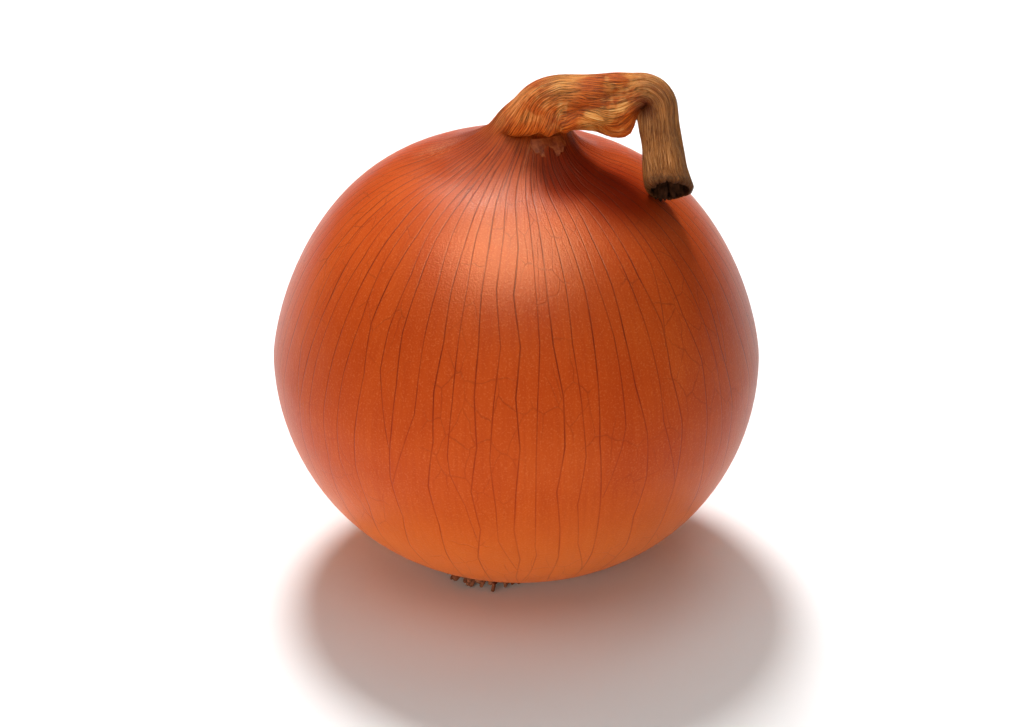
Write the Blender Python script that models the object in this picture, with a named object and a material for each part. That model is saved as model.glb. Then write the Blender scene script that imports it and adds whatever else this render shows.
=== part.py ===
"""A brown onion, as sold: a bulb whose dry skin runs on into a withered neck, with a root plate and dry roots.

The neck is kinked twice, like a straw: it turns to the right just above the bulb, runs along over the
shoulder, and then hangs down beside itself, with the shrivelled ends of the inner leaves in its open mouth.
The onion stands on the flat underside of its root plate. Metres, +Z up, the onion's axis on Z and its resting
face on Z = 0.
"""

import math
import random

import bmesh
import bpy
from mathutils import Matrix, Vector

# Driving dimensions.
BULB_RADIUS = 0.0400
WIDEST_HEIGHT = 0.0365
SHOULDER_RISE = 0.0355
GAP = 0.0003
PLATE_RADIUS = 0.0078
PLATE_HEIGHT = 0.0012
UNDERSIDE_RADIUS = 0.0070
ROOT_RADIUS = 0.00045
ROOT_COUNT = 20
SHORT_ROOT_REACH = 0.0102
LONG_ROOT_EXTRA = 0.0062
LONG_ROOTS_BEARING = math.radians(-28)

# The outline from the widest ring to either end: 1 - s ** power, raised to the fullness.
LOWER_POWER, LOWER_FULLNESS = 1.95, 0.50
UPPER_POWER, UPPER_FULLNESS = 1.50, 0.335

AROUND = 40
TURN = 2 * math.pi
SHOULDER_RADIUS = 0.0145

# Where the neck leaves the shoulder: height above the widest ring, centre to the right, half width, half depth.
NECK_FLARE = (
    (0.0351, 0.0002, 0.0129, 0.0127),
    (0.0358, 0.0004, 0.0114, 0.0111),
    (0.0366, 0.0007, 0.0100, 0.0096),
    (0.0376, 0.0011, 0.0088, 0.0083),
    (0.0386, 0.0015, 0.0077, 0.0070),
    (0.0396, 0.0019, 0.0069, 0.0060),
)

# Each fold turns about a crease: its place to the right and above the widest ring, and the neck's half width
# across the fold, half depth and shift towards the front where the fold starts and where it ends.
FIRST_CREASE = (0.0084, 0.0412)
FIRST_FOLD = ((0.0061, 0.0052, 0.0000), (0.0042, 0.0038, 0.0016))
SECOND_CREASE = (0.0199, 0.0435)
SECOND_FOLD = ((0.0028, 0.0029, 0.0024), (0.0028, 0.0029, 0.0024))
FOLD_RINGS = 10

# The ribbon between the folds: how far to the right, height, half height, half depth, shift towards the front.
RIBBON = (
    (0.0112, 0.0450, 0.0043, 0.0036, 0.0020),
    (0.0143, 0.0448, 0.0045, 0.0034, 0.0022),
    (0.0172, 0.0453, 0.0040, 0.0031, 0.0024),
)

# The hanging end before the neck is leaned back: how far to the right, height, half width, half depth.
HANGING = (
    (0.0228, 0.0412, 0.0029, 0.0029),
    (0.0230, 0.0384, 0.0031, 0.0029),
    (0.0235, 0.0352, 0.0033, 0.0029),
    (0.0239, 0.0332, 0.0034, 0.0029),
    (0.0242, 0.0320, 0.0034, 0.0029),
    (0.0244, 0.0310, 0.0034, 0.0029),
)
HANGING_FORWARD = 0.0024

# Past the first fold the whole neck is leaned back about the line of its ribbon, and the last rings of its
# hanging end are leaned on, so that the mouth faces forward.
LEAN_AXIS = (0.0020, 0.0450)
LEAN_DEGREES = 22
MOUTH_LEANS = (6, 8, 10, 10)
MOUTH_WALL = 0.0006
MOUTH_DEPTH = 0.0046

TORN_SKIN_TOP = 0.0397

SKIN_COLOUR = (0.52, 0.13, 0.03, 1)
SHRED_COLOUR = (0.62, 0.30, 0.12, 1)
PLATE_COLOUR = (0.20, 0.11, 0.06, 1)
ROOT_COLOUR = (0.24, 0.10, 0.05, 1)
LEAF_COLOUR = (0.05, 0.02, 0.01, 1)


def clear_scene():
    for thing in list(bpy.data.objects):
        bpy.data.objects.remove(thing, do_unlink=True)


def make_material(name, colour, roughness):
    material = bpy.data.materials.new(name)
    material.use_nodes = True
    shader = material.node_tree.nodes["Principled BSDF"]
    shader.inputs["Base Color"].default_value = colour
    shader.inputs["Roughness"].default_value = roughness
    shader.inputs["Metallic"].default_value = 0.0
    return material


def ring(centre, across, along, count=AROUND):
    """Points on an ellipse about centre, with half axes given as vectors, starting on the across side."""
    centre, across, along = Vector(centre), Vector(across), Vector(along)
    points = []
    for i in range(count):
        angle = TURN * i / count
        points.append(centre + across * math.cos(angle) + along * math.sin(angle))
    return points


def level_ring(height, right, half_width, half_depth, count=AROUND):
    """A ring lying flat, its first point on the left."""
    return ring((right, 0, height), (-half_width, 0, 0), (0, -half_depth, 0), count)


def loft(rings):
    """A closed body through the rings, which all have the same number of points, with a fan at each end."""
    body = bmesh.new()
    loops = [[body.verts.new(point) for point in points] for points in rings]
    count = len(loops[0])
    for lower, upper in zip(loops, loops[1:]):
        for i in range(count):
            j = (i + 1) % count
            body.faces.new((lower[i], lower[j], upper[j], upper[i]))
    for loop, backwards in ((loops[0], True), (loops[-1], False)):
        middle = sum((vert.co for vert in loop), Vector()) / count
        hub = body.verts.new(middle)
        for i in range(count):
            j = (i + 1) % count
            body.faces.new((loop[j], loop[i], hub) if backwards else (loop[i], loop[j], hub))
    bmesh.ops.recalc_face_normals(body, faces=body.faces)
    return body


def finish(name, body, material, sharp=40):
    mesh = bpy.data.meshes.new(name)
    body.to_mesh(mesh)
    body.free()
    mesh.materials.append(material)
    mesh.shade_smooth()
    mesh.set_sharp_from_angle(angle=math.radians(sharp))
    thing = bpy.data.objects.new(name, mesh)
    bpy.context.scene.collection.objects.link(thing)
    return thing


def lower_radius(s):
    return UNDERSIDE_RADIUS + (BULB_RADIUS - UNDERSIDE_RADIUS) * (1 - s ** LOWER_POWER) ** LOWER_FULLNESS


def upper_height(radius):
    """How far above the widest ring the shoulder is where it has this radius."""
    s = (1 - (radius / BULB_RADIUS) ** (1 / UPPER_FULLNESS)) ** (1 / UPPER_POWER)
    return SHOULDER_RISE * s


def bulb_rings():
    """From the flat underside up to the shoulder, closer together towards both ends."""
    rings = []
    drop = WIDEST_HEIGHT - PLATE_HEIGHT - GAP
    for i in range(12):
        s = math.cos(TURN / 4 * i / 12)
        rings.append(level_ring(WIDEST_HEIGHT - drop * s, 0, lower_radius(s), lower_radius(s)))
    for i in range(12):
        radius = BULB_RADIUS + (SHOULDER_RADIUS - BULB_RADIUS) * (1 - math.cos(TURN / 4 * i / 11))
        rings.append(level_ring(WIDEST_HEIGHT + upper_height(radius), 0, radius, radius))
    return rings


def fold_rings(crease, start, end, start_side, turned):
    """The neck bent tightly about a crease; start_side is the way out from it at the start, in degrees."""
    rings = []
    for i in range(FOLD_RINGS):
        t = i / (FOLD_RINGS - 1)
        width, depth, forward = (a + (b - a) * t for a, b in zip(start, end))
        angle = math.radians(start_side - turned * t)
        out = Vector((math.cos(angle), 0, math.sin(angle)))
        centre = Vector((crease[0], -forward, WIDEST_HEIGHT + crease[1])) + out * (GAP + width)
        rings.append(ring(centre, out * width, (0, -depth, 0)))
    return rings


def hanging_rings():
    """Straight down beside the second fold."""
    rings = []
    for right, height, half_width, half_depth in HANGING:
        centre = (right, -HANGING_FORWARD, WIDEST_HEIGHT + height)
        rings.append(ring(centre, (half_width, 0, 0), (0, -half_depth, 0)))
    return rings


def mouth_ring(inset, raise_by):
    """A ring parallel to the cut end, inset from it all round and raised up into the neck."""
    right, height, half_width, half_depth = HANGING[-1]
    centre = (right - 0.15 * raise_by, -HANGING_FORWARD, WIDEST_HEIGHT + height + raise_by)
    return ring(centre, (half_width - inset, 0, 0), (0, inset - half_depth, 0))


def hollow_rings():
    """The inside of the neck, from the cut end up to the floor of the hollow."""
    return [
        mouth_ring(MOUTH_WALL, 0.0),
        mouth_ring(MOUTH_WALL, MOUTH_DEPTH / 2),
        mouth_ring(MOUTH_WALL + 0.0002, MOUTH_DEPTH),
    ]


def leaf_rings():
    """The shrivelled leaf ends that stand in the hollow, clear of its walls and floor."""
    inset = MOUTH_WALL + 0.0005
    return [
        mouth_ring(inset + 0.0006, MOUTH_DEPTH - 0.0004),
        mouth_ring(inset + 0.0002, MOUTH_DEPTH - 0.0009),
        mouth_ring(inset, MOUTH_DEPTH / 2),
        mouth_ring(inset + 0.0002, 0.0),
        mouth_ring(inset + 0.0010, -0.0006),
    ]


def lean(rings, degrees, pivot):
    """Turns rings about a line through the pivot that runs from left to right."""
    turn = Matrix.Rotation(math.radians(-degrees), 3, "X")
    return [[pivot + turn @ (point - pivot) for point in points] for points in rings]


def neck_rings():
    """Every ring from the first fold to the floor of the hollow, and after them those of the leaf ends."""
    rings = fold_rings(FIRST_CREASE, FIRST_FOLD[0], FIRST_FOLD[1], 180, 90)
    for right, height, half_height, half_depth, forward in RIBBON:
        centre = (right, -forward, WIDEST_HEIGHT + height)
        rings.append(ring(centre, (0, 0, half_height), (0, -half_depth, 0)))
    rings += fold_rings(SECOND_CREASE, SECOND_FOLD[0], SECOND_FOLD[1], 90, 90)
    rings += hanging_rings()
    mouth = len(rings) - 1
    rings += hollow_rings() + leaf_rings()
    axis = Vector((0, -LEAN_AXIS[0], WIDEST_HEIGHT + LEAN_AXIS[1]))
    for first in range(1, FOLD_RINGS + 1):
        rings[first:] = lean(rings[first:], LEAN_DEGREES / FOLD_RINGS, axis)
    for first, degrees in zip(range(mouth - len(MOUTH_LEANS) + 1, mouth + 1), MOUTH_LEANS):
        centre = sum(rings[first], Vector()) / AROUND
        rings[first:] = lean(rings[first:], degrees, centre)
    return rings


def make_bulb(material):
    rings = bulb_rings()
    for height, right, half_width, half_depth in NECK_FLARE:
        rings.append(level_ring(WIDEST_HEIGHT + height, right, half_width, half_depth))
    rings += neck_rings()[:-len(leaf_rings())]
    return finish("bulb", loft(rings), material)


def make_inner_leaves(material):
    rings = neck_rings()[-len(leaf_rings()):]
    return finish("inner_leaves", loft([points[::2] for points in rings]), material)


def neck_front(height, angle, stand_off):
    """A point standing off the front of the neck's flare, angle measured from straight ahead to the right."""
    stations = list(NECK_FLARE) + [(FIRST_CREASE[1], 0.0020, FIRST_FOLD[0][0], FIRST_FOLD[0][1])]
    for low, high in zip(stations, stations[1:]):
        if height <= high[0]:
            break
    t = (height - low[0]) / (high[0] - low[0])
    right, half_width, half_depth = (a + (b - a) * t for a, b in zip(low[1:], high[1:]))
    x = right + (half_width + stand_off) * math.sin(angle)
    y = -(half_depth + stand_off) * math.cos(angle)
    return Vector((x, y, WIDEST_HEIGHT + height))


def make_torn_skin(material):
    """A shred of torn skin on the front of the neck under the first fold, with a ragged lower edge."""
    steps = 10
    inner, outer = [], []
    for i in range(steps + 1):
        angle = math.radians(6 + 52 * i / steps)
        bottom = 0.0375 + 0.0005 * math.sin(2.4 * i) + 0.0003 * math.cos(5.1 * i)
        for row, stand_off in ((inner, 0.0006), (outer, 0.0010)):
            heights = (bottom + (TORN_SKIN_TOP - bottom) * k / 3 for k in range(4))
            row.append([neck_front(height, angle, stand_off) for height in heights])
    rings = [inner[i] + outer[i][::-1] for i in range(steps + 1)]
    return finish("torn_skin", loft(rings), material)


def make_root_plate(material):
    """The corky disc the roots grow from, flat below, with a rounded rim."""
    rings = [
        level_ring(0.0, 0, PLATE_RADIUS - 0.0004, PLATE_RADIUS - 0.0004),
        level_ring(0.0003, 0, PLATE_RADIUS, PLATE_RADIUS),
        level_ring(PLATE_HEIGHT - 0.0003, 0, PLATE_RADIUS, PLATE_RADIUS),
        level_ring(PLATE_HEIGHT, 0, PLATE_RADIUS - 0.0006, PLATE_RADIUS - 0.0006),
    ]
    return finish("root_plate", loft(rings), material)


def root_path(bearing, reach, height, bend):
    """A dry root curling away from the plate: bearing in radians from the front, clockwise seen from above."""
    points = []
    for k in range(8):
        t = k / 7
        distance = PLATE_RADIUS + 2 * ROOT_RADIUS + (reach - PLATE_RADIUS) * t
        turn = bearing + bend * t * t
        lift = ROOT_RADIUS * 1.1 + height * math.sin(math.pi * t) * (1 - 0.4 * t)
        points.append(Vector((distance * math.sin(turn), -distance * math.cos(turn), lift)))
    return points


def make_root(name, path, material):
    rings = []
    for k, point in enumerate(path):
        ahead = path[min(k + 1, len(path) - 1)] - path[max(k - 1, 0)]
        ahead.normalize()
        side = ahead.cross(Vector((0, 0, 1))).normalized()
        up = side.cross(ahead)
        radius = ROOT_RADIUS * (1 - 0.45 * k / (len(path) - 1))
        rings.append(ring(point, side * radius, up * radius, 6))
    return finish(name, loft(rings), material)


def make_roots(material):
    """Roots all round, evenly parted so that none meets its neighbour, the longer ones at the front left."""
    chance = random.Random(7)
    for i in range(ROOT_COUNT):
        bearing = TURN * (i + 0.30 * chance.random()) / ROOT_COUNT
        side_way = math.atan2(math.sin(bearing - LONG_ROOTS_BEARING), math.cos(bearing - LONG_ROOTS_BEARING))
        reach = SHORT_ROOT_REACH + LONG_ROOT_EXTRA * math.exp(-(side_way / 0.6) ** 2) + 0.0008 * chance.random()
        path = root_path(bearing, reach, 0.0002 + 0.0004 * chance.random(), chance.uniform(-0.05, 0.14))
        make_root("root_{:02d}".format(i + 1), path, material)


def main():
    clear_scene()
    skin = make_material("skin", SKIN_COLOUR, 0.38)
    make_bulb(skin)
    make_inner_leaves(make_material("dried_leaf", LEAF_COLOUR, 0.85))
    make_torn_skin(make_material("torn_skin", SHRED_COLOUR, 0.55))
    make_root_plate(make_material("root_plate", PLATE_COLOUR, 0.90))
    make_roots(make_material("roots", ROOT_COLOUR, 0.80))


main()
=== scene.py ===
"""The brown onion: bulb and folded neck, shrivelled leaf ends, torn skin, root plate and roots."""

import math
import random

import bpy
import bmesh
from mathutils import Matrix, Vector, noise


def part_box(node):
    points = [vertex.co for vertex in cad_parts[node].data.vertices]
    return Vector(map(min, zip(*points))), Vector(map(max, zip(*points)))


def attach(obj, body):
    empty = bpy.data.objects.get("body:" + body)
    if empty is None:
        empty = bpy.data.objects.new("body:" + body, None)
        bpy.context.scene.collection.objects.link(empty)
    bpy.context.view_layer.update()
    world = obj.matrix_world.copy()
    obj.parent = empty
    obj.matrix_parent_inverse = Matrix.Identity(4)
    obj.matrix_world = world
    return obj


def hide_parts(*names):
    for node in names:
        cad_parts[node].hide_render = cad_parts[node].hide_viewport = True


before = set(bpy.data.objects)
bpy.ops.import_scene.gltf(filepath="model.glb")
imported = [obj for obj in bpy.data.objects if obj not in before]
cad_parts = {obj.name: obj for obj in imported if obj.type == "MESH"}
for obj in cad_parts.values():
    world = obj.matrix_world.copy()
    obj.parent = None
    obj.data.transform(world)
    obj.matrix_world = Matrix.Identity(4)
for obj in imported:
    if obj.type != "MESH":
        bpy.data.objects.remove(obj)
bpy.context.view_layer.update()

MM = 0.001
TURN = 2 * math.pi

# The outline of the bulb: its widest ring, and what lies below and above it.
BULB_RADIUS = -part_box("bulb")[0].x
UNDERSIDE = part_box("bulb")[0].z
UNDERSIDE_RADIUS = 7.0 * MM
WIDEST = 36.5 * MM
SHOULDER_RISE = 35.5 * MM
SHOULDER_RADIUS = 14.5 * MM
LOWER_POWER, LOWER_FULLNESS = 1.95, 0.485
UPPER_POWER, UPPER_FULLNESS = 1.50, 0.335
# The underside sits this far to the right of the axis.
LOWER_SAG = 0.5 * MM
PLATE_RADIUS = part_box("root_plate")[1].x
PLATE_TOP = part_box("root_plate")[1].z

# Vertices in a ring of the bulb, and main veins round it.
AROUND = 96
VEINS = 36


# -----------------------------------------------------------------------------
# Modelling
# -----------------------------------------------------------------------------


def only(thing):
    """Nothing is selected but this."""
    bpy.ops.object.select_all(action="DESELECT")
    thing.select_set(True)
    bpy.context.view_layer.objects.active = thing


def start_circle(name, count, radius, centre):
    bpy.ops.object.select_all(action="DESELECT")
    bpy.ops.mesh.primitive_circle_add(vertices=count, radius=radius, fill_type="NOTHING", location=centre)
    thing = bpy.context.object
    thing.name = name
    thing.data.name = name
    bpy.ops.object.transform_apply(location=True, rotation=True, scale=True)
    bpy.ops.object.mode_set(mode="EDIT")
    bpy.ops.mesh.select_mode(type="VERT")
    bpy.ops.mesh.select_all(action="SELECT")
    return thing


class Rim:
    """The open end of a tube that is drawn out ring by ring.

    Across is half its width from side to side, deep is half its depth from front to back, and a
    standing rim is one that has turned to face right.
    """

    def __init__(self, name, count, centre, radius):
        self.thing = start_circle(name, count, radius, centre)
        self.centre = Vector(centre)
        self.across = radius
        self.deep = radius
        self.standing = False
        self.rings = 0

    def draw_on(self, centre, across, deep):
        """The rim goes on to a new centre and is resized there."""
        centre = Vector(centre)
        bpy.ops.mesh.extrude_edges_move(TRANSFORM_OT_translate={"value": centre - self.centre})
        wide, depth = across / self.across, deep / self.deep
        factors = (1, depth, wide) if self.standing else (wide, depth, 1)
        bpy.ops.transform.resize(value=factors, center_override=centre)
        self.centre, self.across, self.deep = centre, across, deep
        self.rings += 1

    def fold(self, crease, steps, degrees, across, deep, forward):
        """The rim turns clockwise about a crease that its near side stays on, and is resized."""
        crease = Vector((crease[0], 0, crease[1]))
        gap = (Vector((self.centre.x, 0, self.centre.z)) - crease).length - self.across
        turn = math.radians(degrees / steps)
        wide = ((gap + across) / (gap + self.across)) ** (1 / steps)
        depth = (deep / self.deep) ** (1 / steps)
        step = (forward + self.centre.y) / steps
        for _ in range(steps):
            bpy.ops.mesh.extrude_edges_move(TRANSFORM_OT_translate={"value": (0, -step, 0)})
            self.centre.y -= step
            pivot = Vector((crease.x, self.centre.y, crease.z))
            bpy.ops.transform.rotate(value=-turn, orient_axis="Y", center_override=pivot)
            bpy.ops.transform.resize(value=(wide, depth, wide), center_override=pivot)
            arm = Matrix.Rotation(turn, 3, "Y") @ (self.centre - pivot) * wide
            self.centre = pivot + arm
        self.across, self.deep = across, deep
        self.rings += steps

    def close(self):
        bpy.ops.mesh.merge(type="CENTER")
        bpy.ops.mesh.select_all(action="DESELECT")


def pull(thing, shape, point, move, reach, falloff="SMOOTH"):
    """Moves one vertex, and what is within reach of it by less and less. In mm."""
    for vert in shape.verts:
        vert.select = vert is point
    shape.select_flush_mode()
    bmesh.update_edit_mesh(thing.data)
    bpy.ops.transform.translate(
        value=Vector(move) * MM,
        use_proportional_edit=True,
        proportional_edit_falloff=falloff,
        proportional_size=reach * MM,
    )


def nudge(thing, place, move, reach):
    """Pulls the point of the surface that is nearest a place. In mm."""
    place = Vector(place)
    shape = bmesh.from_edit_mesh(thing.data)
    nearest = min(shape.verts, key=lambda vert: (vert.co / MM - place).length)
    pull(thing, shape, nearest, move, reach)


def apply_all(thing):
    only(thing)
    for modifier in list(thing.modifiers):
        bpy.ops.object.modifier_apply(modifier=modifier.name)


def subdivide_smooth(thing, levels):
    modifier = thing.modifiers.new("smooth", "SUBSURF")
    modifier.levels = levels
    modifier.render_levels = levels
    apply_all(thing)


def push_out(thing, name, height, weight_of):
    """Raises the surface along its normals, by up to height where weight_of(index) is 1."""
    group = thing.vertex_groups.new(name=name)
    for vert in thing.data.vertices:
        group.add([vert.index], weight_of(vert.index), "REPLACE")
    modifier = thing.modifiers.new(name, "DISPLACE")
    modifier.vertex_group = name
    modifier.mid_level = 0.0
    modifier.strength = height
    apply_all(thing)
    thing.vertex_groups.remove(thing.vertex_groups[name])


def smooth_shaded(thing):
    only(thing)
    bpy.ops.object.shade_smooth()
    return thing


def join(parts, name):
    only(parts[0])
    for part in parts:
        part.select_set(True)
    bpy.ops.object.join()
    joined = bpy.context.object
    joined.name = name
    return joined


def lay_map(thing, count):
    """A map that follows a ringed tube: U once round from the back, V along it.

    Returns the length that V covers, and how far along each ring is with its girth, in metres.
    """
    shape = bmesh.new()
    shape.from_mesh(thing.data)
    shape.verts.ensure_lookup_table()
    start = [vert for vert in shape.verts if vert.index < count]
    middle = sum((vert.co for vert in start), Vector()) / count
    place = {}
    for vert in start:
        arm = vert.co - middle
        place[vert] = ((math.atan2(arm.x, -arm.y) / TURN + 0.5) % 1.0, 0.0)
    front, along, girths = start, 0.0, []
    while front:
        ring_edges = [edge for vert in front for edge in vert.link_edges if edge.other_vert(vert) in front]
        girths.append((along, sum(edge.calc_length() for edge in ring_edges) / 2))
        following = []
        stride = []
        for vert in front:
            for edge in vert.link_edges:
                other = edge.other_vert(vert)
                if other not in place and other not in following:
                    following.append(other)
                    stride.append((vert, other, edge.calc_length()))
        if not stride:
            break
        along += sum(length for _, _, length in stride) / len(stride)
        for vert, other, _ in stride:
            place[other] = (place[vert][0], along)
        front = following if len(following) == count else []
    layer = shape.loops.layers.uv.verify()
    for face in shape.faces:
        rounds = [place[loop.vert][0] for loop in face.loops]
        wraps = max(rounds) - min(rounds) > 0.5
        for loop in face.loops:
            u, v = place[loop.vert]
            loop[layer].uv = (u + 1.0 if wraps and u < 0.5 else u, v / along)
    shape.to_mesh(thing.data)
    shape.free()
    return along, girths


def map_places(thing):
    """Each vertex's place on the map, as lists of U and V."""
    mesh = thing.data
    places = [(0.0, 0.0)] * len(mesh.vertices)
    layer = mesh.uv_layers["UVMap"].data
    for loop in mesh.loops:
        places[loop.vertex_index] = tuple(layer[loop.index].uv)
    return places


def between(pairs, x):
    """The value at x on a line through (x, value) pairs."""
    for (a, p), (b, q) in zip(pairs, pairs[1:]):
        if x <= b:
            return p + (q - p) * max(0.0, (x - a) / (b - a)) if b > a else q
    return pairs[-1][1]


def point_values(thing, name, values):
    layer = thing.data.attributes.new(name, "FLOAT", "POINT")
    layer.data.foreach_set("value", values)


def bulb_outline():
    """(radius, height) of each ring from the flat underside to the shoulder."""
    rings = []
    drop = WIDEST - UNDERSIDE
    for i in range(1, 15):
        s = math.cos(TURN / 4 * i / 15)
        swell = (1 - s ** LOWER_POWER) ** LOWER_FULLNESS
        rings.append((UNDERSIDE_RADIUS + (BULB_RADIUS - UNDERSIDE_RADIUS) * swell, WIDEST - drop * s))
    for i in range(0, 16):
        radius = BULB_RADIUS + (SHOULDER_RADIUS - BULB_RADIUS) * (1 - math.cos(TURN / 4 * i / 15))
        s = (1 - (radius / BULB_RADIUS) ** (1 / UPPER_FULLNESS)) ** (1 / UPPER_POWER)
        rings.append((radius, WIDEST + SHOULDER_RISE * s))
    return rings


def spot(right, forward, up):
    """A place in mm to the right of the axis, towards the front and above the widest ring."""
    return Vector((right * MM, -forward * MM, WIDEST + up * MM))


def draw_rings(rim, rows):
    """Draws the rim on through rows of right, forward, up, across and deep, in mm."""
    for right, forward, up, across, deep in rows:
        rim.draw_on(spot(right, forward, up), across * MM, deep * MM)


def draw_bulb(rim):
    """Draws the bulb, the folded neck and the hollow of its cut end. Returns the rings worth a name."""
    for radius, height in bulb_outline():
        sag = LOWER_SAG * max(0.0, 1 - (height - UNDERSIDE) / (WIDEST - UNDERSIDE))
        rim.draw_on((sag, 0, height), radius, radius)
    rings = {"shoulder": rim.rings}
    # The shoulder sweeps up into the neck, which is wider from side to side.
    draw_rings(rim, (
        (0.2, 0.0, 35.1, 12.9, 12.7),
        (0.4, 0.0, 35.8, 11.3, 11.0),
        (0.7, 0.1, 36.6, 9.8, 9.4),
        (1.1, 0.2, 37.6, 8.5, 8.0),
        (1.5, 0.2, 38.6, 7.3, 6.7),
        (1.9, 0.1, 39.6, 6.5, 5.6),
        (2.2, -0.1, 40.4, 5.9, 4.8),
    ))
    rings["neck"] = rim.rings
    first_crease = (8.4 * MM, WIDEST + 41.2 * MM)
    rim.fold(first_crease, 3, 27, 4.4 * MM, 4.3 * MM, 0.6 * MM)
    rim.fold(first_crease, 8, 63, 3.7 * MM, 3.3 * MM, 1.6 * MM)
    # The ribbon lies over to the right.
    rim.standing = True
    draw_rings(rim, (
        (9.8, 1.8, 45.1, 3.7, 3.1),
        (11.2, 2.0, 45.0, 3.8, 3.0),
        (12.8, 2.1, 44.9, 3.9, 2.9),
        (14.3, 2.2, 44.8, 4.0, 2.8),
        (15.8, 2.3, 44.9, 3.9, 2.6),
        (17.2, 2.4, 45.3, 3.5, 2.5),
        (18.4, 2.4, 45.8, 3.0, 2.4),
        (19.3, 2.4, 46.3, 2.6, 2.3),
    ))
    rings["second_fold"] = rim.rings
    second_crease = (19.9 * MM, WIDEST + 43.5 * MM)
    rim.fold(second_crease, 10, 90, 2.3 * MM, 2.4 * MM, 2.4 * MM)
    # The end hangs down and flares to its mouth.
    rim.standing = False
    draw_rings(rim, (
        (22.6, 2.4, 42.0, 2.4, 2.4),
        (22.8, 2.4, 40.2, 2.5, 2.4),
        (23.0, 2.4, 38.4, 2.6, 2.4),
        (23.3, 2.4, 36.6, 2.7, 2.4),
        (23.6, 2.4, 34.8, 2.8, 2.4),
        (23.9, 2.4, 33.2, 2.9, 2.4),
        (24.2, 2.4, 32.0, 3.0, 2.5),
        (24.4, 2.4, 31.0, 3.1, 2.6),
    ))
    rings["mouth"] = rim.rings
    # The cut edge turns in and the hollow goes back up inside.
    draw_rings(rim, (
        (24.4, 2.4, 31.0, 2.9, 2.4),
        (24.2, 2.4, 31.9, 2.8, 2.3),
        (23.9, 2.4, 33.8, 2.7, 2.2),
        (23.5, 2.4, 36.0, 2.4, 1.9),
    ))
    rim.close()
    return rings


def make_bulb():
    """Returns the bulb, the length of its map and how far along that each named ring is, in mm."""
    rim = Rim("onion_bulb", AROUND, (LOWER_SAG, 0, UNDERSIDE), UNDERSIDE_RADIUS)
    rings = draw_bulb(rim)
    onion = rim.thing
    lean_neck(onion, rings["neck"])
    cut_mouth(onion, rings["mouth"])
    bpy.ops.object.mode_set(mode="OBJECT")
    length, girths = lay_map(onion, AROUND)
    marks = {name: girths[ring][0] / MM for name, ring in rings.items()}
    bpy.ops.object.mode_set(mode="EDIT")
    shape_neck(onion)
    fray_mouth(onion, rings["mouth"])
    bpy.ops.object.mode_set(mode="OBJECT")
    close_underside(onion)
    subdivide_smooth(onion, 1)
    places = map_places(onion)
    point_values(onion, "girth", [between(girths, v * length) / MM for _, v in places])
    wrinkle_neck(onion, places, length, marks)
    return smooth_shaded(onion), length, marks


def lean_beyond(onion, ring, degrees, pivot):
    """Turns the rings from this one on about a line from left to right: what is below it comes forward."""
    shape = bmesh.from_edit_mesh(onion.data)
    shape.verts.ensure_lookup_table()
    for vert in shape.verts:
        vert.select = vert.index >= ring * AROUND
    shape.select_flush_mode()
    bmesh.update_edit_mesh(onion.data)
    bpy.ops.transform.rotate(value=math.radians(degrees), orient_axis="X", center_override=pivot)


def lean_neck(onion, ring):
    """The neck leans back about the line of its ribbon, a little more with each ring of the first fold."""
    for step in range(1, 11):
        lean_beyond(onion, ring + step, 2.2, spot(0, 2.0, 45.0))


def cut_mouth(onion, ring):
    """The end is cut on the slant: its last rings are leaned so that the mouth faces forward."""
    for step, degrees in ((-3, 6), (-2, 8), (-1, 10), (0, 10)):
        shape = bmesh.from_edit_mesh(onion.data)
        shape.verts.ensure_lookup_table()
        ringed = [shape.verts[(ring + step) * AROUND + i].co for i in range(AROUND)]
        lean_beyond(onion, ring + step, degrees, sum(ringed, Vector()) / AROUND)


def fray_mouth(onion, ring):
    """The cut edge is torn: teeth of it stand out or are missing, more so on the left."""
    chance = random.Random(3)
    for i in range(0, AROUND, 3):
        left = 0.5 - 0.5 * math.sin(TURN * i / AROUND)
        tooth = chance.uniform(-0.5, 1.0) * (0.25 + 0.75 * left)
        shape = bmesh.from_edit_mesh(onion.data)
        shape.verts.ensure_lookup_table()
        pull(onion, shape, shape.verts[ring * AROUND + i], (0, 0, tooth), 0.45, "SHARP")


def shape_neck(onion):
    """The tuck under the first fold, the lobe of the ribbon and the buckle in the second fold."""
    bpy.ops.mesh.select_all(action="DESELECT")
    top = WIDEST / MM
    # Where the neck leaves the cone its front is tucked in, and above that it bulges out over the tuck.
    for right in (-1.5, 1.0, 3.5, 6.0):
        nudge(onion, (right, -4.6, top + 40.4), (0, 1.3, 0.0), 2.2)
    for right in (-1.0, 2.0, 5.0, 8.0):
        nudge(onion, (right, -5.6, top + 42.6), (0, -1.2, -1.1), 2.6)
    # The lobe at the lower edge of the ribbon, and the hollows on either side of it.
    nudge(onion, (15.8, -5.0, top + 41.0), (0.3, -0.6, -0.9), 3.2)
    nudge(onion, (17.8, -5.0, top + 41.6), (0.7, -0.5, -1.1), 2.2)
    nudge(onion, (12.2, -5.0, top + 41.6), (0, 0.6, 0.5), 2.4)
    nudge(onion, (20.2, -5.0, top + 44.6), (-0.2, 1.9, 0.3), 1.7)
    # A valley that runs up the ribbon, and a ridge under it.
    for right, up in ((7.0, 44.0), (9.2, 44.8), (11.4, 45.6), (13.6, 46.6), (15.8, 47.6)):
        nudge(onion, (right, -5.0, top + up), (0, 0.9, 0.1), 1.6)
    for right, up in ((8.2, 42.6), (10.8, 43.2), (13.4, 43.8)):
        nudge(onion, (right, -5.0, top + up), (0, -0.5, 0.3), 1.5)


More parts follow.
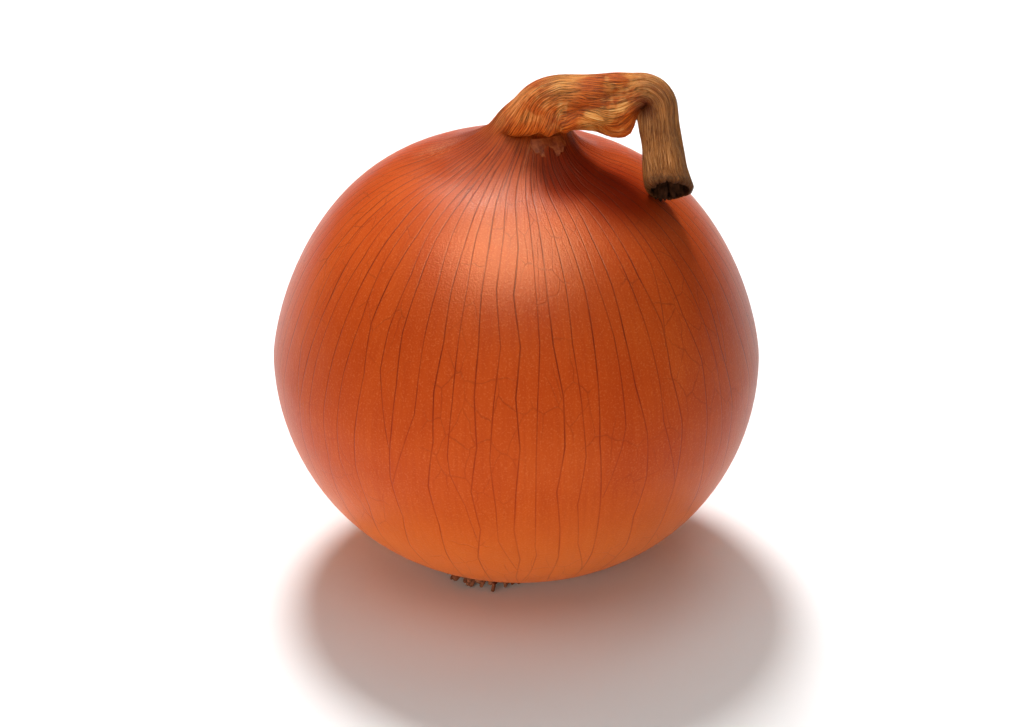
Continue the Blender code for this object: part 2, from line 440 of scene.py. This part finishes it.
def close_underside(onion):
    """The flat underside, behind the root plate."""
    only(onion)
    bpy.ops.object.mode_set(mode="EDIT")
    shape = bmesh.from_edit_mesh(onion.data)
    for vert in shape.verts:
        vert.select = vert.co.z < UNDERSIDE + 0.01 * MM
    shape.select_flush_mode()
    bmesh.update_edit_mesh(onion.data)
    centre = (LOWER_SAG, 0, UNDERSIDE)
    for factor in (0.66, 0.5):
        bpy.ops.mesh.extrude_edges_move(TRANSFORM_OT_translate={"value": (0, 0, 0)})
        bpy.ops.transform.resize(value=(factor, factor, 1), center_override=centre)
    bpy.ops.mesh.extrude_edges_move(TRANSFORM_OT_translate={"value": (0, 0, 0)})
    bpy.ops.mesh.merge(type="CENTER")
    bpy.ops.mesh.select_all(action="SELECT")
    bpy.ops.mesh.normals_make_consistent(inside=False)
    bpy.ops.object.mode_set(mode="OBJECT")


def ridges(u, along, count, stretch, seed):
    """Smooth lengthwise ridges, from -1 to 1, count of them round the tube and each about stretch mm long."""
    radius = count / TURN
    angle = u * TURN
    return noise.noise(Vector((radius * math.cos(angle), radius * math.sin(angle), along / stretch + seed)))


def wrinkle_neck(onion, places, length, marks):
    """Pleats gather on the shoulder and run the length of the neck, and a slow crumple crosses them."""

    def within(value):
        return max(0.0, min(1.0, value))

    def risen(along, start, full):
        t = within((along - start) / (full - start))
        return t * t * (3 - 2 * t)

    def to_mouth(along):
        return within((marks["mouth"] + 0.4 - along) / 0.8)

    def pleat(index):
        u, along = places[index][0], places[index][1] * length / MM
        broad = ridges(u, along, 13, 16, 0)
        fine = ridges(u, along, 34, 10, 40)
        finer = ridges(u, along, 75, 5, 90)
        patch = 0.5 + 0.9 * abs(ridges(u, along, 4, 5, 130))
        rise = 0.5 + 0.75 * broad + patch * (0.34 * fine + 0.16 * finer)
        return within(risen(along, marks["shoulder"] - 10, marks["neck"]) * rise * to_mouth(along))

    def crumple(index):
        u, along = places[index][0], places[index][1] * length / MM
        rise = 0.5 + 0.9 * ridges(u, along, 6, 6, 80)
        return within(risen(along, marks["neck"] - 3, marks["neck"] + 9) * rise * to_mouth(along))

    push_out(onion, "crumple", 0.8 * MM, crumple)
    push_out(onion, "pleats", 0.55 * MM, pleat)


def make_inner_leaves():
    """Shrivelled leaf ends, standing a little out of the mouth: pinched strips side by side."""
    strips = []
    chance = random.Random(5)
    for k in range(7):
        t = (k - 3) / 3
        start = spot(24.0 + 1.7 * t, 6.2 + 0.9 * chance.uniform(-1, 1), 35.2)
        rim = Rim("inner_leaf_end", 10, start, 0.75 * MM)
        reach = 4.6 + chance.uniform(-0.9, 0.7)
        for step in range(1, 6):
            part = step / 5
            spread = 0.4 * part + 0.5 * t * part * part
            place = start + Vector((spread, -1.1 * part, -reach * part)) * MM
            place.y += 0.25 * MM * math.sin(5 * part + k)
            rim.draw_on(place, (0.75 - 0.35 * part) * MM, (0.55 - 0.38 * part) * MM)
        rim.close()
        close_start(rim.thing)
        strips.append(rim.thing)
    leaves = join(strips, "inner_leaf_ends")
    subdivide_smooth(leaves, 1)
    return smooth_shaded(leaves)


def close_start(thing):
    """Fills the open first ring of a drawn tube and turns its faces outwards."""
    bpy.ops.mesh.select_all(action="DESELECT")
    shape = bmesh.from_edit_mesh(thing.data)
    for edge in shape.edges:
        if edge.is_boundary:
            edge.select = True
            for vert in edge.verts:
                vert.select = True
    bmesh.update_edit_mesh(thing.data)
    bpy.ops.mesh.edge_face_add()
    bpy.ops.mesh.select_all(action="SELECT")
    bpy.ops.mesh.normals_make_consistent(inside=False)
    bpy.ops.object.mode_set(mode="OBJECT")


def make_root_plate():
    """The corky disc under the bulb that the roots grow from."""
    bpy.ops.object.select_all(action="DESELECT")
    bpy.ops.mesh.primitive_cylinder_add(
        vertices=48,
        radius=PLATE_RADIUS,
        depth=PLATE_TOP,
        location=(0, 0, PLATE_TOP / 2),
    )
    plate = bpy.context.object
    plate.name = "root_plate_disc"
    bpy.ops.object.transform_apply(location=True, rotation=True, scale=True)
    bevel = plate.modifiers.new("rounded rim", "BEVEL")
    bevel.width = 0.3 * MM
    bevel.segments = 3
    apply_all(plate)
    only(plate)
    bpy.ops.object.shade_smooth_by_angle(angle=math.radians(40))
    return plate


def draw_strand(start, bearing, reach, thick, sway, chance):
    """One dry strand, tapered and kinked, drawn out from the plate along the floor."""
    out = Vector((math.sin(bearing), -math.cos(bearing), 0))
    side = Vector((math.cos(bearing), math.sin(bearing), 0))
    rim = Rim("root_strand", 6, out * start + Vector((0, 0, 0.9 * MM)), thick)
    bpy.ops.transform.rotate(value=math.radians(90), orient_axis="X", center_override=rim.centre)
    bpy.ops.transform.rotate(value=-bearing, orient_axis="Z", center_override=rim.centre)
    steps = 10
    place = rim.centre.copy()
    for k in range(1, steps + 1):
        t = k / steps
        distance = start + (reach - start) * t
        wave = (sway * t + 0.35 * math.sin(9 * t + 5 * sway) * t) * MM
        lift = 1.35 * thick + (0.6 * (1 - t) + 1.5 * abs(math.sin(3.4 * t + 2 * sway)) * t) * MM
        following = out * distance + side * wave + Vector((0, 0, lift))
        bpy.ops.mesh.extrude_edges_move(TRANSFORM_OT_translate={"value": following - place})
        factor = 1 - 0.3 / steps + 0.16 * chance.uniform(-1, 1)
        bpy.ops.transform.resize(value=(factor,) * 3, center_override=following)
        place = following
    bpy.ops.mesh.extrude_edges_move(TRANSFORM_OT_translate={"value": out * 0.3 * MM})
    bpy.ops.mesh.merge(type="CENTER")
    close_start(rim.thing)
    return rim.thing


def make_root(name, node, chance):
    """A dry root in the place of its CAD node, with others beside it: a tuft where it is a long one."""
    low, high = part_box(node)
    centre = (low + high) / 2
    bearing = math.atan2(centre.x, -centre.y)
    corners = [Vector((x, y)).length for x in (low.x, high.x) for y in (low.y, high.y)]
    reach = max(corners) * 0.97
    start = PLATE_RADIUS - 1.2 * MM
    strands = [draw_strand(start, bearing, reach, 0.42 * MM, chance.uniform(-0.8, 0.8), chance)]
    for _ in range(16 if reach > 12 * MM else 3):
        aside = bearing + chance.uniform(-0.22, 0.22)
        shorter = start + (reach - start) * chance.uniform(0.72, 1.0)
        thick = chance.uniform(0.28, 0.62) * MM
        sway = chance.uniform(-2.2, 2.2)
        strands.append(draw_strand(start, aside, shorter, thick, sway, chance))
    return smooth_shaded(join(strands, name))


def make_torn_skin():
    """A thin shred with a ragged lower edge, on the front of the neck under the first fold."""
    bpy.ops.object.select_all(action="DESELECT")
    steps = 28
    bpy.ops.mesh.primitive_grid_add(x_subdivisions=steps, y_subdivisions=10, size=1, location=(0, 0, 0))
    shred = bpy.context.object
    shred.name = "torn_skin_shred"
    chance = random.Random(3)
    ragged = [chance.uniform(0.0, 1.0) for _ in range(40)]
    top = 40.2
    for vert in shred.data.vertices:
        # From 0 to 1, s goes round the cone from left to right and t goes down to the torn edge.
        s, t = vert.co.x + 0.5, 0.5 - vert.co.y
        angle = math.radians(2 + 50 * s)
        tear = 0.20 + 0.55 * math.sin(math.pi * s) ** 0.8 + 0.22 * ragged[int(round(s * steps))]
        drop = 3.0 * t * tear
        stand_off = 0.35 + 0.5 * t * t + 0.15 * math.sin(9 * s)
        across = 6.0 + 0.55 * drop + stand_off
        deep = 4.9 + 0.9 * drop + stand_off
        vert.co = spot(2.0 + across * math.sin(angle), deep * math.cos(angle), top - drop)
    wall = shred.modifiers.new("thickness", "SOLIDIFY")
    wall.thickness = 0.12 * MM
    wall.offset = 0
    subdivide_smooth(shred, 1)
    only(shred)
    bpy.ops.object.mode_set(mode="EDIT")
    bpy.ops.mesh.select_all(action="SELECT")
    bpy.ops.mesh.normals_make_consistent(inside=False)
    bpy.ops.object.mode_set(mode="OBJECT")
    return smooth_shaded(shred)


# -----------------------------------------------------------------------------
# Materials
# -----------------------------------------------------------------------------


class Finish:
    """A material and short words for laying out its nodes."""

    def __init__(self, name):
        self.material = bpy.data.materials.new(name)
        self.material.use_nodes = True
        self.tree = self.material.node_tree
        self.shader = self.tree.nodes["Principled BSDF"]

    def put(self, kind, inputs=None, **settings):
        node = self.tree.nodes.new("ShaderNode" + kind)
        for key, value in settings.items():
            setattr(node, key, value)
        for key, value in (inputs or {}).items():
            self.feed(node.inputs[key], value)
        return node

    def feed(self, socket, value):
        if isinstance(value, bpy.types.NodeSocket):
            self.tree.links.new(value, socket)
        else:
            socket.default_value = value

    def sum(self, operation, *values):
        """One step of arithmetic."""
        return self.put("Math", dict(enumerate(values)), operation=operation).outputs[0]

    def times(self, first, second):
        return self.sum("MULTIPLY", first, second)

    def apart(self, first, second):
        """How far apart two values are."""
        return self.sum("ABSOLUTE", self.sum("SUBTRACT", first, second))

    def more(self, first, second):
        """The greater of two values."""
        return self.sum("MAXIMUM", first, second)

    def vector(self, x, y, z=0.0):
        return self.put("CombineXYZ", {0: x, 1: y, 2: z}).outputs[0]

    def grain(self, vector, scale, detail=2.0, roughness=0.5, distortion=0.0):
        inputs = {"Vector": vector, "Scale": scale, "Detail": detail}
        inputs.update({"Roughness": roughness, "Distortion": distortion})
        return self.put("TexNoise", inputs).outputs["Fac"]

    def chance(self, x, y):
        """A fixed random number for each pair of whole numbers."""
        node = self.put("TexWhiteNoise", {"Vector": self.vector(x, y)}, noise_dimensions="2D")
        return node.outputs["Value"]

    def fade(self, value, start, end, low=0.0, high=1.0, soft=True):
        """Low before start, high after end, and smooth between them."""
        inputs = {"Value": value, "From Min": start, "From Max": end, "To Min": low, "To Max": high}
        node = self.put("MapRange", inputs, interpolation_type="SMOOTHSTEP" if soft else "LINEAR")
        return node.outputs[0]

    def blend(self, amount, first, second, mode="MIX"):
        node = self.put("Mix", data_type="RGBA", blend_type=mode)
        self.feed(node.inputs[0], amount)
        self.feed(node.inputs[6], first)
        self.feed(node.inputs[7], second)
        return node.outputs[2]

    def ramp(self, value, *stops):
        node = self.put("ValToRGB", {"Fac": value})
        elements = node.color_ramp.elements
        while len(elements) < len(stops):
            elements.new(0.5)
        for element, (place, colour) in zip(elements, stops):
            element.position = place
            element.color = colour
        return node.outputs[0]

    def relief(self, *layers):
        """Bumps of (height, distance in mm, strength), one on another, into the shader's normal."""
        normal = None
        for height, distance, strength in layers:
            inputs = {"Height": height, "Distance": distance * MM, "Strength": strength}
            if normal is not None:
                inputs["Normal"] = normal
            normal = self.put("Bump", inputs).outputs[0]
        self.feed(self.shader.inputs["Normal"], normal)

    def gloss(self, **values):
        for key, value in values.items():
            self.feed(self.shader.inputs[key.replace("_", " ")], value)


# Colours of the skin, the neck and the cut end.
COPPER, LIGHT_COPPER = (0.47, 0.056, 0.006, 1), (0.56, 0.088, 0.011, 1)
REDDER_STRIP = (0.43, 0.045, 0.005, 1)
RED_STREAK = (0.40, 0.036, 0.004, 1)
AMBER_UNDERSIDE = (0.90, 0.230, 0.034, 1)
PEACH_SPECKLE = (0.80, 0.240, 0.070, 1)
# Deeper red of the cone, also used as the painted shadow of the neck.
DEEP_RED_AND_SHADOW = (0.20, 0.011, 0.002, 1)
LOW_VEIN, HIGH_VEIN = (0.30, 0.020, 0.003, 1), (0.12, 0.012, 0.004, 1)
CONE_THREAD = (0.075, 0.008, 0.003, 1)
# Painted shade in the creases of the neck.
PAINTED_CREASE_SHADE = (0.17, 0.024, 0.004, 1)
# Painted shade in the hollow of the second fold.
PAINTED_FOLD_SHADE = (0.10, 0.010, 0.003, 1)
# Pale flaky skin, partly a painted glint of light.
PALE_CRINKLE_AND_GLINT = (0.80, 0.36, 0.16, 1)
CHARRED_EDGE = (0.055, 0.014, 0.005, 1)
# Painted shade inside the hollow of the cut end.
PAINTED_HOLLOW_SHADE = (0.030, 0.009, 0.004, 1)

# Colours across the neck's fibres, from the gaps between them to their crests.
COPPER_FIBRES = (
    (0.34, (0.24, 0.024, 0.003, 1)),
    (0.50, (0.70, 0.110, 0.008, 1)),
    (0.64, (0.90, 0.240, 0.030, 1)),
)
GOLD_FIBRES = (
    (0.34, (0.46, 0.085, 0.012, 1)),
    (0.50, (0.98, 0.340, 0.060, 1)),
    (0.64, (1.0, 0.640, 0.240, 1)),
)
HUSK_FIBRES = (
    (0.34, (0.14, 0.038, 0.010, 1)),
    (0.50, (0.50, 0.175, 0.045, 1)),
    (0.66, (0.82, 0.430, 0.165, 1)),
)


class SkinFinish(Finish):
    """The skin's material, with the places on the skin that its patterns follow."""

    def __init__(self, length, marks):
        """Marks are how far along the skin the shoulder, the neck and so on are, in mm."""
        super().__init__("onion_skin")
        self.marks = marks
        split = self.put("SeparateXYZ", {0: self.put("UVMap", uv_map="UVMap").outputs[0]})
        # Across counts the main veins round the bulb, and along is in mm.
        self.across = self.times(split.outputs[0], float(VEINS))
        self.along = self.times(split.outputs[1], length / MM)
        girth = self.put("Attribute", attribute_name="girth").outputs["Fac"]
        self.spacing = self.sum("DIVIDE", girth, float(VEINS))
        self.place = self.put("TexCoord").outputs["Object"]
        self.up = self.put("SeparateXYZ", {0: self.place}).outputs[2]

    def stretch(self, to_a_vein, to_a_mm, shift=0.0):
        """Where to read a grain that changes this fast from vein to vein and along each mm."""
        across = self.sum("MULTIPLY_ADD", self.across, to_a_vein, shift)
        return self.vector(across, self.times(self.along, to_a_mm))

    def past(self, mark, start, end, low=0.0, high=1.0):
        """Low until start mm past a mark, and high from end mm past it."""
        return self.fade(self.along, self.marks[mark] + start, self.marks[mark] + end, low, high)

    def near(self, centre, inner, outer):
        """1 within the inner distance of a point (mm), fading to 0 at the outer one."""
        gap = self.put("VectorMath", {0: self.place, 1: tuple(centre)}, operation="DISTANCE")
        return self.fade(gap.outputs["Value"], inner * MM, outer * MM, 1.0, 0.0)

    def kinked(self, row, every, seed):
        """A broken line's sideways place, about 0: random at each knot, straight between them."""
        t = self.sum("DIVIDE", self.along, every)
        knot = self.sum("FLOOR", t)
        part = self.sum("FRACT", t)
        row = self.sum("ADD", row, seed)
        here = self.chance(row, knot)
        there = self.chance(row, self.sum("ADD", knot, 1.0))
        span = self.sum("SUBTRACT", there, here)
        line = self.sum("SUBTRACT", self.sum("MULTIPLY_ADD", span, part, here), 0.5)
        return self.times(line, 0.22)


def main_veins(skin):
    """One vein at each whole number round the bulb."""
    number = skin.sum("ROUND", skin.across)
    row = skin.sum("FLOORED_MODULO", number, float(VEINS))
    off = skin.apart(skin.sum("SUBTRACT", skin.across, number), skin.kinked(row, 8.0, 0.0))
    return skin.fade(skin.times(off, skin.spacing), 0.04, 0.17, 1.0, 0.0)


def second_veins(skin):
    """Between those, veins that come down from the neck and each join one at their own height."""
    cell = skin.sum("FLOOR", skin.across)
    row = skin.sum("FLOORED_MODULO", cell, float(VEINS))
    stop = skin.fade(skin.chance(row, 77.0), 0.0, 1.0, 16.0, 70.0, soft=False)
    side = skin.sum("SIGN", skin.sum("SUBTRACT", skin.chance(row, 99.0), 0.5))
    lean = skin.fade(skin.sum("SUBTRACT", skin.along, stop), 0.0, 13.0, 0.5, 0.0, soft=False)
    middle = skin.sum("MULTIPLY_ADD", side, lean, skin.kinked(row, 9.0, 300.0))
    off = skin.apart(skin.sum("SUBTRACT", skin.across, cell), skin.sum("ADD", middle, 0.5))
    vein = skin.fade(skin.times(off, skin.spacing), 0.03, 0.14, 1.0, 0.0)
    return skin.times(vein, skin.sum("GREATER_THAN", skin.along, stop))


def vein_net(skin):
    """A faint net of cross links, in patches."""
    place = skin.stretch(1.7, 0.16)
    warp = skin.put("TexNoise", {"Vector": place, "Scale": 1.5, "Detail": 2.0}).outputs["Color"]
    warp = skin.put("VectorMath", {0: warp, 1: (0.35, 0.35, 0)}, operation="MULTIPLY").outputs[0]
    place = skin.put("VectorMath", {0: place, 1: warp}, operation="ADD").outputs[0]
    cells = {"feature": "DISTANCE_TO_EDGE", "voronoi_dimensions": "2D"}
    edge = skin.put("TexVoronoi", {"Vector": place, "Scale": 1.0}, **cells).outputs["Distance"]
    patchy = skin.fade(skin.grain(skin.stretch(1.0, 0.12), 0.5), 0.45, 0.6)
    return skin.times(skin.times(skin.fade(edge, 0.008, 0.035, 1.0, 0.0), patchy), 0.42)


def bulb_colour(skin, veins, blotch, speckle, deep_tone_and_painted_shadow):
    """Copper, blotched, a little different between each pair of veins, streaked and speckled."""
    colour = skin.ramp(blotch, (0.3, COPPER), (0.7, LIGHT_COPPER))
    strip = skin.sum("FLOORED_MODULO", skin.sum("FLOOR", skin.times(skin.across, 2.0)), 2.0 * VEINS)
    colour = skin.blend(skin.times(skin.chance(strip, 5.0), 0.25), colour, REDDER_STRIP)
    streak = skin.grain(skin.stretch(9.0, 0.10), 1.0, 3.0, 0.6)
    colour = skin.blend(skin.fade(streak, 0.35, 0.75, 0.0, 0.35), colour, RED_STREAK)
    colour = skin.blend(skin.fade(skin.up, 0.002, 0.034, 0.75, 0.0), colour, AMBER_UNDERSIDE)
    colour = skin.blend(skin.fade(speckle, 0.50, 0.72, 0.0, 0.20), colour, PEACH_SPECKLE)
    # The cone is deeper red, and a painted shadow of the neck darkens its right side.
    colour = skin.blend(deep_tone_and_painted_shadow, colour, DEEP_RED_AND_SHADOW)
    vein = skin.blend(skin.fade(skin.up, 0.020, 0.060), LOW_VEIN, HIGH_VEIN)
    colour = skin.blend(skin.times(veins, skin.fade(skin.up, 0.010, 0.045, 0.55, 0.9)), colour, vein)
    thread = skin.fade(skin.grain(skin.stretch(4.0, 0.06), 1.0, 4.0, 0.7), 0.36, 0.50, 0.75, 0.0)
    return skin.blend(skin.times(skin.past("shoulder", -6, 5), thread), colour, CONE_THREAD)


def neck_colour(skin, colour, fibre, crease):
    """The neck dries from copper to straw in patches, and to grey brown at its hanging end."""
    patch = skin.fade(skin.grain(skin.place, 190.0, 3.0, 0.6, 0.4), 0.46, 0.62)
    patch = skin.times(patch, skin.past("neck", 1, 8, 0.3, 1.0))
    patch = skin.more(patch, skin.near(spot(7.4, 2.5, 48.0), 1.0, 4.5))
    straw = skin.blend(patch, skin.ramp(fibre, *COPPER_FIBRES), skin.ramp(fibre, *GOLD_FIBRES))
    ragged = skin.sum("MULTIPLY_ADD", fibre, 5.0, skin.along)
    to_straw = skin.fade(ragged, skin.marks["neck"] - 1, skin.marks["neck"] + 6)
    colour = skin.blend(to_straw, colour, straw)
    colour = skin.blend(skin.past("second_fold", -2, 4), colour, skin.ramp(fibre, *HUSK_FIBRES))
    # Painted shade darkens the creases of the neck.
    colour = skin.blend(skin.times(crease, 0.62), colour, PAINTED_CREASE_SHADE)
    # Painted shade in the hollow of the second fold.
    fold_shade = skin.near(spot(20.2, 4.6, 45.2), 0.6, 3.0)
    return skin.blend(skin.times(fold_shade, 0.85), colour, PAINTED_FOLD_SHADE)


def crinkle_and_glint_colour(skin, colour):
    """A patch of pale flaky crinkles on the left of the shoulder, partly a painted glint of light on them."""
    crinkle = skin.apart(skin.grain(skin.place, 700.0, 3.0, 0.6, 1.5), 0.5)
    crinkle = skin.fade(crinkle, 0.0, 0.05, 1.0, 0.0)
    crinkle = skin.times(crinkle, skin.near(spot(-11.5, -2.5, 32.5), 2.0, 6.5))
    return skin.blend(skin.times(crinkle, 0.45), colour, PALE_CRINKLE_AND_GLINT)


def mouth_colour(skin, colour, fibre):
    """The cut end is dark and frayed, and the hollow inside it is painted in shade."""
    frayed = skin.sum("MULTIPLY_ADD", skin.sum("SUBTRACT", fibre, 0.5), 14.0, skin.along)
    mouth = skin.marks["mouth"]
    colour = skin.blend(skin.fade(frayed, mouth - 1.8, mouth - 0.4, 0.0, 0.8), colour, CHARRED_EDGE)
    # Painted shade inside the hollow.
    return skin.blend(skin.past("mouth", -0.3, 0.5), colour, PAINTED_HOLLOW_SHADE)


def skin_material(length, marks):
    """Glossy veined copper on the bulb, and dull creased fibres on the neck."""
    skin = SkinFinish(length, marks)
    veins = skin.more(skin.more(main_veins(skin), skin.times(second_veins(skin), 0.85)), vein_net(skin))
    depth = skin.fade(skin.grain(skin.stretch(1.0, 0.1), 1.2), 0.3, 0.7, 0.55, 1.0)
    veins = skin.times(veins, depth)
    speckle = skin.grain(skin.place, 3400.0, 2.0, 0.5)
    blotch = skin.grain(skin.place, 45.0, 3.0, 0.6)
    wander = skin.times(skin.grain(skin.place, 170.0, 2.0), 2.6)
    fibre = skin.grain(skin.stretch(6.0, 0.16, wander), 1.2, 6.0, 0.75)
    crease = skin.apart(skin.grain(skin.stretch(1.5, 0.09, wander), 1.6, 3.0, 0.6), 0.5)
    crease = skin.times(skin.fade(crease, 0.0, 0.040, 1.0, 0.0), skin.past("neck", -3, 4))

    # The skin is deeper and duller on the cone; on its right side under the neck, a painted shadow of the
    # neck makes it darker and duller still.
    painted_neck_shadow = skin.more(skin.near(spot(15.0, 9.5, 31.5), 3.0, 13.0), skin.near(spot(8.5, 8.5, 34.5), 3.0, 12.0))
    deep_tone_and_painted_shadow = skin.more(skin.past("shoulder", -6, 5, 0.0, 0.4), skin.times(painted_neck_shadow, 0.9))

    colour = bulb_colour(skin, veins, blotch, speckle, deep_tone_and_painted_shadow)
    colour = neck_colour(skin, colour, fibre, crease)
    colour = crinkle_and_glint_colour(skin, colour)
    colour = mouth_colour(skin, colour, fibre)
    skin.gloss(Base_Color=colour)

    dry = skin.fade(skin.along, marks["shoulder"], marks["neck"])
    skin.relief(
        (speckle, 0.07, 0.6),
        (skin.grain(skin.stretch(14.0, 0.5), 1.0, 3.0), 0.08, 0.5),
        (veins, -0.07, 0.5),
        (skin.times(skin.fade(fibre, 0.30, 0.62), dry), 0.14, 0.8),
        (crease, -0.30, 0.8),
    )
    rough = skin.sum("ADD", dry, skin.times(blotch, 0.15))
    skin.gloss(Roughness=skin.fade(rough, 0.0, 1.15, 0.36, 0.62))
    shine = skin.fade(deep_tone_and_painted_shadow, 0.0, 0.9, 0.36, 0.05)
    shine = skin.sum("ADD", shine, skin.past("neck", 0, 4, 0.0, 0.22))
    skin.gloss(Specular_IOR_Level=shine)
    skin.gloss(IOR=1.30, Specular_Tint=(1.0, 0.72, 0.48, 1))
    return skin.material


def dry_material(name, dark, light, scale, roughness):
    """Dry fibre or cork, which is a dull grain of two colours."""
    finish = Finish(name)
    place = finish.put("TexCoord").outputs["Object"]
    grain = finish.grain(place, scale, 4.0, 0.6)
    finish.gloss(Base_Color=finish.ramp(grain, (0.3, dark), (0.7, light)))
    finish.relief((grain, 0.15, 0.8))
    finish.gloss(Roughness=roughness, Specular_IOR_Level=0.06)
    return finish.material


def wear(thing, material, slot, *nodes):
    """Gives a piece its material and its body, and hides the CAD nodes that it stands for."""
    thing.data.materials.clear()
    thing.data.materials.append(material)
    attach(thing, "root")
    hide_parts(*nodes)


# -----------------------------------------------------------------------------
# The onion
# -----------------------------------------------------------------------------

bulb, skin_length, skin_marks = make_bulb()
wear(bulb, skin_material(skin_length, skin_marks), "skin", "bulb")

leaf_finish = dry_material("shrivelled_leaf", (0.006, 0.002, 0.001, 1), (0.05, 0.018, 0.008, 1), 900, 0.8)
wear(make_inner_leaves(), leaf_finish, "dried_leaf", "inner_leaves")

shred_finish = dry_material("torn_skin", (0.15, 0.020, 0.004, 1), (0.36, 0.080, 0.019, 1), 1300, 0.7)
wear(make_torn_skin(), shred_finish, "torn_skin", "torn_skin")

cork_finish = dry_material("root_plate_cork", (0.10, 0.04, 0.02, 1), (0.25, 0.13, 0.07, 1), 700, 0.9)
wear(make_root_plate(), cork_finish, "root_plate", "root_plate")

root_finish = dry_material("dry_root", (0.07, 0.018, 0.008, 1), (0.42, 0.17, 0.09, 1), 420, 0.8)
root_chance = random.Random(11)
for node in sorted(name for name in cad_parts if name.startswith("root_") and name != "root_plate"):
    wear(make_root("dry_" + node, node, root_chance), root_finish, "roots", node)


# -----------------------------------------------------------------------------
# Floor, light and camera
# -----------------------------------------------------------------------------


def make_floor():
    bpy.ops.object.select_all(action="DESELECT")
    bpy.ops.mesh.primitive_plane_add(size=6.0, location=(0, 0, 0))
    floor = bpy.context.object
    floor.name = "floor"
    finish = Finish("floor_white")
    finish.gloss(Base_Color=(0.93, 0.93, 0.935, 1), Roughness=0.9, Specular_IOR_Level=0.1)
    floor.data.materials.append(finish.material)


def aim(thing, target):
    thing.rotation_euler = (Vector(target) - thing.location).to_track_quat("-Z", "Y").to_euler()


def make_light(name, direction, distance, size, power, glossy=True, diffuse=True, colour=(1, 1, 1)):
    """A round soft lamp that looks at the middle of the bulb. One that isn't glossy leaves no highlight."""
    lamp = bpy.data.lights.new(name, "AREA")
    lamp.shape = "DISK"
    lamp.size = size
    lamp.energy = power
    lamp.color = colour
    thing = bpy.data.objects.new(name, lamp)
    bpy.context.scene.collection.objects.link(thing)
    thing.location = Vector(direction).normalized() * distance + Vector((0, 0, WIDEST))
    thing.visible_glossy = glossy
    thing.visible_diffuse = diffuse
    aim(thing, (0, 0, WIDEST))


def make_world(strength):
    world = bpy.data.worlds.new("studio")
    bpy.context.scene.world = world
    world.use_nodes = True
    backdrop = world.node_tree.nodes["Background"]
    backdrop.inputs["Color"].default_value = (1, 1, 1, 1)
    backdrop.inputs["Strength"].default_value = strength


def make_camera():
    lens = bpy.data.cameras.new("camera")
    lens.sensor_width = 36
    lens.lens = 127.8
    lens.clip_start = 0.05
    lens.clip_end = 20
    camera = bpy.data.objects.new("camera", lens)
    bpy.context.scene.collection.objects.link(camera)
    bpy.context.scene.camera = camera
    elevation = math.radians(26)
    target = Vector((-0.7 * MM, 0, WIDEST - 2.1 * MM))
    back = Vector((0, -math.cos(elevation), math.sin(elevation)))
    camera.location = target + back * 0.60
    aim(camera, target)


make_floor()
make_world(0.06)
# The key comes from above and behind, and the sheen is seen only as the highlight on the shoulder.
make_light("key", (-0.11, 0.53, 0.84), 0.75, 0.20, 6.3)
make_light("second", (0.12, 0.34, 0.93), 0.80, 0.60, 1.2, glossy=False)
make_light("overhead", (-0.04, -0.38, 0.93), 0.80, 0.70, 1.4, glossy=False)
make_light("sheen", (-0.06, -0.18, 1.0), 0.80, 0.75, 34.0, diffuse=False, colour=(1.0, 0.95, 0.83))
make_light("front_fill", (-0.38, -0.92, 0.03), 0.90, 0.80, 7.4, glossy=False, colour=(1.0, 0.92, 0.80))
make_camera()
bpy.context.scene.view_settings.view_transform = "Standard"
